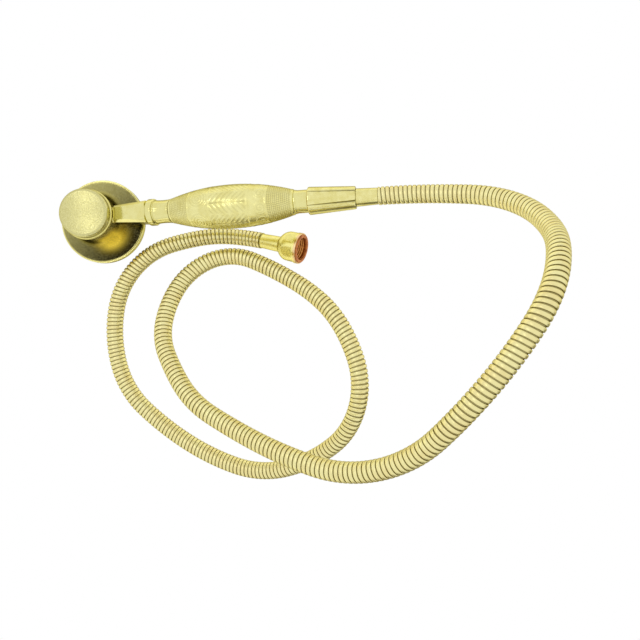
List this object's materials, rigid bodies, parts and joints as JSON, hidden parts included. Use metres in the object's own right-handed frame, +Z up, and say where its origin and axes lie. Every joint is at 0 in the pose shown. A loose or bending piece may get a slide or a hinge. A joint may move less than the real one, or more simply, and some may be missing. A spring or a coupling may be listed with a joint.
{
  "type": "handheld bath sprayer",
  "caption": "Telephone-style hand shower with an engraved grip and a flexible metal hose, for bathing pets or rinsing at a bath; threaded nut for a tap at the hose's far end.",
  "frame": {"origin": "centre of the spray rim, on the table that it rests on", "axes": "+Z up out of the table along the head's axis, +X under the handle towards the hose, +Y to the handle's left"},
  "size_m": [0.3826, 0.2636, 0.1931],
  "materials": {
    "polished_gold": "polished pale gold plate",
    "hose_gold": "polished pale gold strip-wound metal",
    "raw_brass": "machined",
    "white_liner": "smooth hose liner",
    "white_nylon": "moulded",
    "black_rubber": "matt",
    "red_rubber": "matt red-brown",
    "spring_steel": "drawn wire and turned steel"
  },
  "bodies": {
    "handset": {"bell_shell": "polished_gold", "rim_ring": "polished_gold", "spray_plate": "polished_gold", "face_seal": "black_rubber", "distributor": "white_nylon", "face_screw": "spring_steel", "back_cap": "polished_gold", "cap_seal": "black_rubber", "neck_bar": "polished_gold", "bead_ring": "polished_gold", "front_collar": "polished_gold", "grip_shell": "polished_gold", "water_tube": "raw_brass", "tube_seals": "black_rubber", "tail_collar": "polished_gold", "tail_fitting": "raw_brass", "valve_cage": "white_nylon", "valve_seat": "white_nylon", "valve_spring": "spring_steel", "handset_washer": "black_rubber"},
    "valve_poppet": {"valve_poppet": "white_nylon"},
    "fluted_nut": {"fluted_nut": "polished_gold"},
    "hose_1": {"slip_ring": "white_nylon", "handset_insert": "raw_brass", "handset_ferrule": "polished_gold", "sheath_1": "hose_gold", "liner_1": "white_liner"},
    "hose_2": {"sheath_2": "hose_gold", "liner_2": "white_liner"},
    "hose_3": {"sheath_3": "hose_gold", "liner_3": "white_liner"},
    "hose_4": {"sheath_4": "hose_gold", "liner_4": "white_liner"},
    "hose_5": {"sheath_5": "hose_gold", "liner_5": "white_liner"},
    "hose_6": {"sheath_6": "hose_gold", "liner_6": "white_liner"},
    "hose_7": {"sheath_7": "hose_gold", "liner_7": "white_liner", "tap_ferrule": "polished_gold", "tap_insert": "raw_brass", "tap_slip_ring": "white_nylon"},
    "tap_nut": {"tap_nut": "polished_gold", "tap_gasket": "red_rubber"}
  },
  "joints": [
    {"name": "hose_swivel", "type": "hinge", "parent": "handset", "child": "hose_1", "pos_m": [0.21026, 0, 0.06387], "axis": [0.9848, 0, 0.1736], "continuous": true},
    {"name": "fluted_nut_spin", "type": "hinge", "parent": "handset", "child": "fluted_nut", "pos_m": [0.19588, 0, 0.06134], "axis": [0.9848, 0, 0.1736], "continuous": true},
    {"name": "valve_lift", "type": "slide", "parent": "handset", "child": "valve_poppet", "axis": [0.9848, 0, 0.1736], "range_m": [-0.002, 0]},
    {"name": "hose_bend_1", "type": "hinge", "parent": "hose_1", "child": "hose_2", "pos_m": [0.285, -0.135, 0.182], "axis": [-0.0974, -0.1174, 0.9883], "range_deg": [0, 20]},
    {"name": "hose_bend_2", "type": "hinge", "parent": "hose_2", "child": "hose_3", "pos_m": [0.138, -0.177, 0.101], "axis": [-0.397, 0.1716, 0.9016], "range_deg": [0, 20]},
    {"name": "hose_bend_3", "type": "hinge", "parent": "hose_3", "child": "hose_4", "pos_m": [0.095, -0.044, 0.033], "axis": [0.1027, 0.0554, 0.9932], "range_deg": [0, 15]},
    {"name": "hose_bend_4", "type": "hinge", "parent": "hose_4", "child": "hose_5", "pos_m": [0.22, -0.154, 0.07], "axis": [-0.0062, -0.0453, 0.999], "range_deg": [-10, 0]},
    {"name": "hose_bend_5", "type": "hinge", "parent": "hose_5", "child": "hose_6", "pos_m": [0.071, -0.197, 0.015], "axis": [-0.1561, 0.0954, 0.9831], "range_deg": [-12, 0]},
    {"name": "hose_bend_6", "type": "hinge", "parent": "hose_6", "child": "hose_7", "pos_m": [0.037, -0.036, 0.009], "axis": [0.0101, 0.0081, 0.9999], "range_deg": [0, 10]},
    {"name": "tap_nut_spin", "type": "hinge", "parent": "hose_7", "child": "tap_nut", "pos_m": [0.1701, -0.03077, 0.02226], "axis": [0.9033, -0.259, 0.342], "continuous": true}
  ]
}
